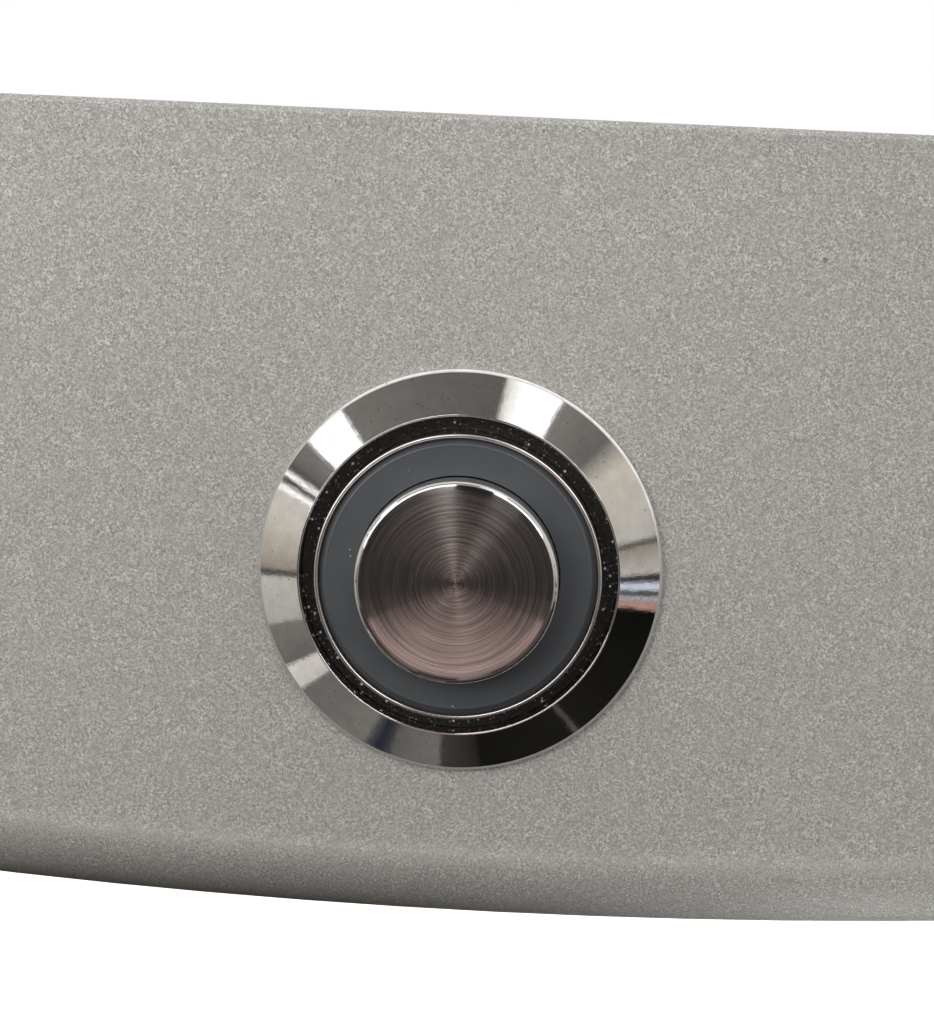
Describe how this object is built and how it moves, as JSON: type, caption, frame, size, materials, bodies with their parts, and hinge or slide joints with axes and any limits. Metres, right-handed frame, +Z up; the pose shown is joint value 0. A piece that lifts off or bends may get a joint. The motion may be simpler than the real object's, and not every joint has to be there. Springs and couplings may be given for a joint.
{
  "type": "pedestrian push button",
  "caption": "Pedestrian push-button unit: silver metal housing with a chrome-rimmed, ring-lit metal push switch, fixed to a pole or wall.",
  "frame": {"origin": "where the button's axis meets the wall face of the back plate", "axes": "+X across the face to the right as seen from the front, +Y into the wall, +Z up; the front faces -Y"},
  "size_m": [0.084, 0.0575, 0.0505],
  "materials": {
    "cast_housing": "fine-grained satin silver-grey coating on cast aluminium",
    "gasket_rubber": "matt black rubber",
    "bezel_chrome": "mirror-polished",
    "sleeve_steel": "bright drawn thin-wall tube",
    "turned_steel": "stainless, face turned with fine rings",
    "smoked_lens": "translucent smoke-grey light guide, satin",
    "screw_steel": "stainless steel",
    "nut_nickel": "nickel-plated brass",
    "spring_steel": "drawn spring wire",
    "clamp_brass": "plain brass",
    "clamp_screw_zinc": "zinc-plated steel",
    "contact_copper": "copper alloy strip",
    "contact_silver": "silver rivets",
    "block_plastic": "light grey moulded plastic",
    "switch_plastic": "black glass-filled plastic",
    "bush_plastic": "natural acetal",
    "potting_resin": "black epoxy",
    "board_green": "solder-masked circuit board",
    "led_package": "pale phosphor LED packages",
    "resistor_black": "chip resistors",
    "tinned_wire": "tinned copper wire",
    "sleeve_heatshrink": "black heat-shrink sleeving",
    "wire_white": "white insulation",
    "wire_green": "green insulation",
    "wire_blue": "blue insulation",
    "wire_red": "red insulation",
    "wire_black": "black insulation"
  },
  "bodies": {
    "housing": {"front_housing": "cast_housing", "back_plate": "cast_housing", "housing_gasket": "gasket_rubber", "cable_grommet": "gasket_rubber", "panel_seal": "gasket_rubber", "groove_seal": "gasket_rubber", "bezel_body": "bezel_chrome", "inner_sleeve": "sleeve_steel", "light_ring": "smoked_lens", "cover_screws": "screw_steel", "block_screws": "screw_steel", "earth_stud": "screw_steel", "earth_washer": "screw_steel", "earth_nut": "screw_steel", "lock_washer": "screw_steel", "pivot_pin": "screw_steel", "hex_nut": "nut_nickel", "return_spring": "spring_steel", "drive_spring": "spring_steel", "blade_spring": "spring_steel", "wire_clamps": "clamp_brass", "clamp_screws": "clamp_screw_zinc", "common_contact": "contact_copper", "normally_open_contact": "contact_copper", "normally_closed_contact": "contact_copper", "led_terminals": "contact_copper", "fixed_rivets": "contact_silver", "terminal_block": "block_plastic", "rear_body": "switch_plastic", "terminal_base": "switch_plastic", "guide_bush": "bush_plastic", "potting": "potting_resin", "led_board": "board_green", "leds": "led_package", "resistors": "resistor_black", "led_links": "tinned_wire", "solder_sleeves": "sleeve_heatshrink", "lead_common": "wire_white", "lead_normally_open": "wire_green", "lead_normally_closed": "wire_blue", "lead_lamp_plus": "wire_red", "lead_lamp_minus": "wire_black"},
    "button": {"button_cap": "turned_steel", "cap_seal": "gasket_rubber", "plunger": "bush_plastic", "retaining_clip": "screw_steel", "drive_shoe": "bush_plastic"},
    "blade": {"contact_blade": "contact_copper", "moving_rivets": "contact_silver"}
  },
  "joints": [
    {"name": "button_press", "type": "slide", "parent": "housing", "child": "button", "axis": [0, 1, 0], "range_m": [0, 0.0022], "stiffness_N_per_m": 620, "springref_m": -0.005, "deforming": ["return_spring", "drive_spring"]},
    {"name": "blade_pivot", "type": "hinge", "parent": "housing", "child": "blade", "pos_m": [0, -0.031, 0], "axis": [0, 0, 1], "range_deg": [-10, 0], "deforming": ["blade_spring", "drive_spring"]}
  ],
  "couplings": [
    {"joint": "blade_pivot", "follows": "button_press", "rad_per_m": -79.33}
  ]
}
